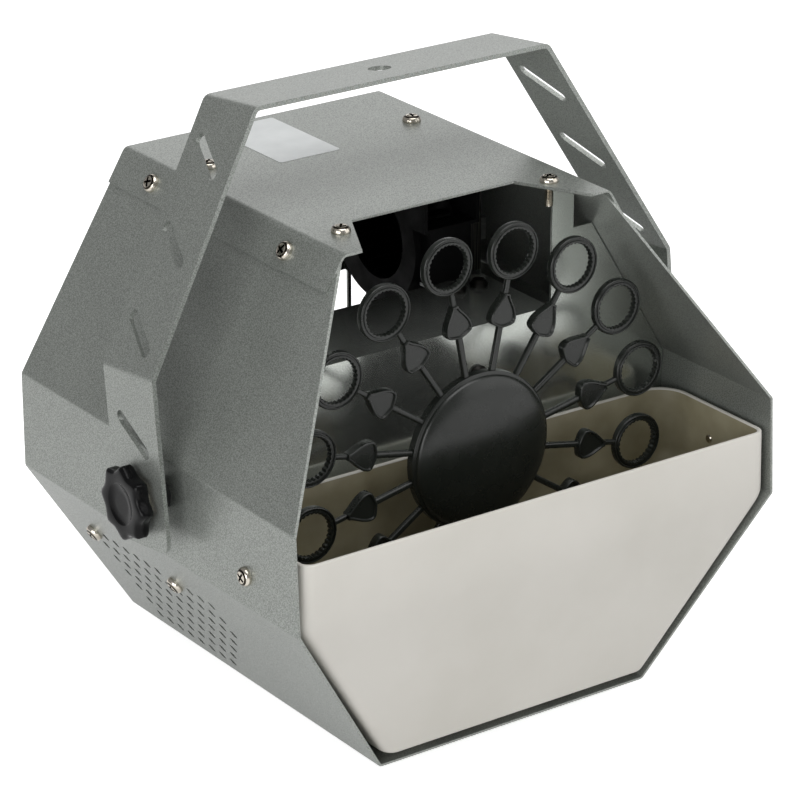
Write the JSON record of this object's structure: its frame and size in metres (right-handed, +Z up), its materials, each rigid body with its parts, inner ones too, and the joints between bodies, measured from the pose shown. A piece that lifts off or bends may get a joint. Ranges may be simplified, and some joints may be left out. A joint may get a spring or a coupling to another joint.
{
  "type": "bubble machine",
  "caption": "Compact bubble machine: hexagonal folded-sheet housing, open tank, motor wheel of ring wands, blower and tilting clamped handle.",
  "frame": {"origin": "middle of the footprint on the surface the feet stand on", "axes": "+Z up, +Y to the rear, +X to the right seen from the front"},
  "size_m": [0.2918, 0.222, 0.2773],
  "materials": {
    "housing_paint": "silver-grey hammered enamel, satin",
    "handle_paint": "silver-grey hammered enamel, satin",
    "inner_plate": "silver-grey hammered enamel, satin",
    "tank_plastic": "moulded, fine texture",
    "black_plastic": "satin",
    "knob_plastic": "satin",
    "black_rubber": "matt",
    "nickel": "bright nickel plate",
    "zinc_steel": "zinc plate, satin",
    "lamination_steel": "stacked, oiled",
    "coil_tape": "polyester tape, satin",
    "brass_pins": "bright",
    "terminal_plastic": "satin"
  },
  "bodies": {
    "housing": {"housing_shell": "housing_paint", "top_cover": "housing_paint", "rear_panel": "housing_paint", "partition": "inner_plate", "tank": "tank_plastic", "tank_pads": "black_rubber", "wheel_motor": "zinc_steel", "wheel_motor_screws": "nickel", "blower_scroll": "black_plastic", "blower_cover": "black_plastic", "fan_motor_stack": "lamination_steel", "fan_motor_coil": "coil_tape", "fan_motor_bearings": "zinc_steel", "fan_motor_posts": "zinc_steel", "blower_bracket": "zinc_steel", "blower_screws": "nickel", "power_inlet": "black_plastic", "inlet_pins": "brass_pins", "inlet_screws": "nickel", "fuse_holder": "black_plastic", "fuse_cap": "black_plastic", "switch_body": "black_plastic", "terminal_block": "terminal_plastic", "handle_spacers": "black_rubber", "weld_nuts": "zinc_steel", "top_screws": "nickel", "flange_screws": "nickel", "chassis_screws": "nickel", "tank_screws": "nickel", "cover_nuts": "zinc_steel", "chassis_nuts": "zinc_steel", "rubber_feet": "black_rubber", "foot_screws": "nickel", "foot_nuts": "zinc_steel"},
    "handle": {"carry_handle": "handle_paint"},
    "washer_right": {"washer_right": "nickel"},
    "washer_left": {"washer_left": "nickel"},
    "knob_right": {"knob_right": "knob_plastic", "stud_right": "zinc_steel"},
    "knob_left": {"knob_left": "knob_plastic", "stud_left": "zinc_steel"},
    "wheel": {"wand_wheel": "black_plastic", "hub_cap": "black_plastic", "wheel_shaft": "zinc_steel", "wheel_clip": "zinc_steel"},
    "fan": {"blower_impeller": "black_plastic", "fan_shaft": "zinc_steel"},
    "rocker": {"power_rocker": "knob_plastic"}
  },
  "joints": [
    {"name": "handle_tilt", "type": "hinge", "parent": "housing", "child": "handle", "pos_m": [0, -0.0105, 0.1175], "axis": [1, 0, 0], "range_deg": [-30, 60]},
    {"name": "wheel_spin", "type": "hinge", "parent": "housing", "child": "wheel", "pos_m": [0, -0.063, 0.1243], "axis": [0, 1, 0], "continuous": true},
    {"name": "fan_spin", "type": "hinge", "parent": "housing", "child": "fan", "pos_m": [0.0636, 0.054, 0.18], "axis": [1, 0, 0], "continuous": true},
    {"name": "rocker_press", "type": "hinge", "parent": "housing", "child": "rocker", "pos_m": [0.045, 0.098, 0.05], "axis": [1, 0, 0], "range_deg": [-16, 0]},
    {"name": "knob_right_draw", "type": "slide", "parent": "housing", "child": "washer_right", "axis": [1, 0, 0], "range_m": [0, 0.003]},
    {"name": "knob_right_turn", "type": "hinge", "parent": "washer_right", "child": "knob_right", "pos_m": [0.1366, -0.0105, 0.1175], "axis": [1, 0, 0], "range_deg": [0, 720]},
    {"name": "knob_left_draw", "type": "slide", "parent": "housing", "child": "washer_left", "axis": [-1, 0, 0], "range_m": [0, 0.003]},
    {"name": "knob_left_turn", "type": "hinge", "parent": "washer_left", "child": "knob_left", "pos_m": [-0.1366, -0.0105, 0.1175], "axis": [-1, 0, 0], "range_deg": [0, 720]}
  ],
  "couplings": [
    {"joint": "knob_right_draw", "follows": "knob_right_turn", "m_per_rad": 0.00019894},
    {"joint": "knob_left_draw", "follows": "knob_left_turn", "m_per_rad": 0.00019894}
  ]
}
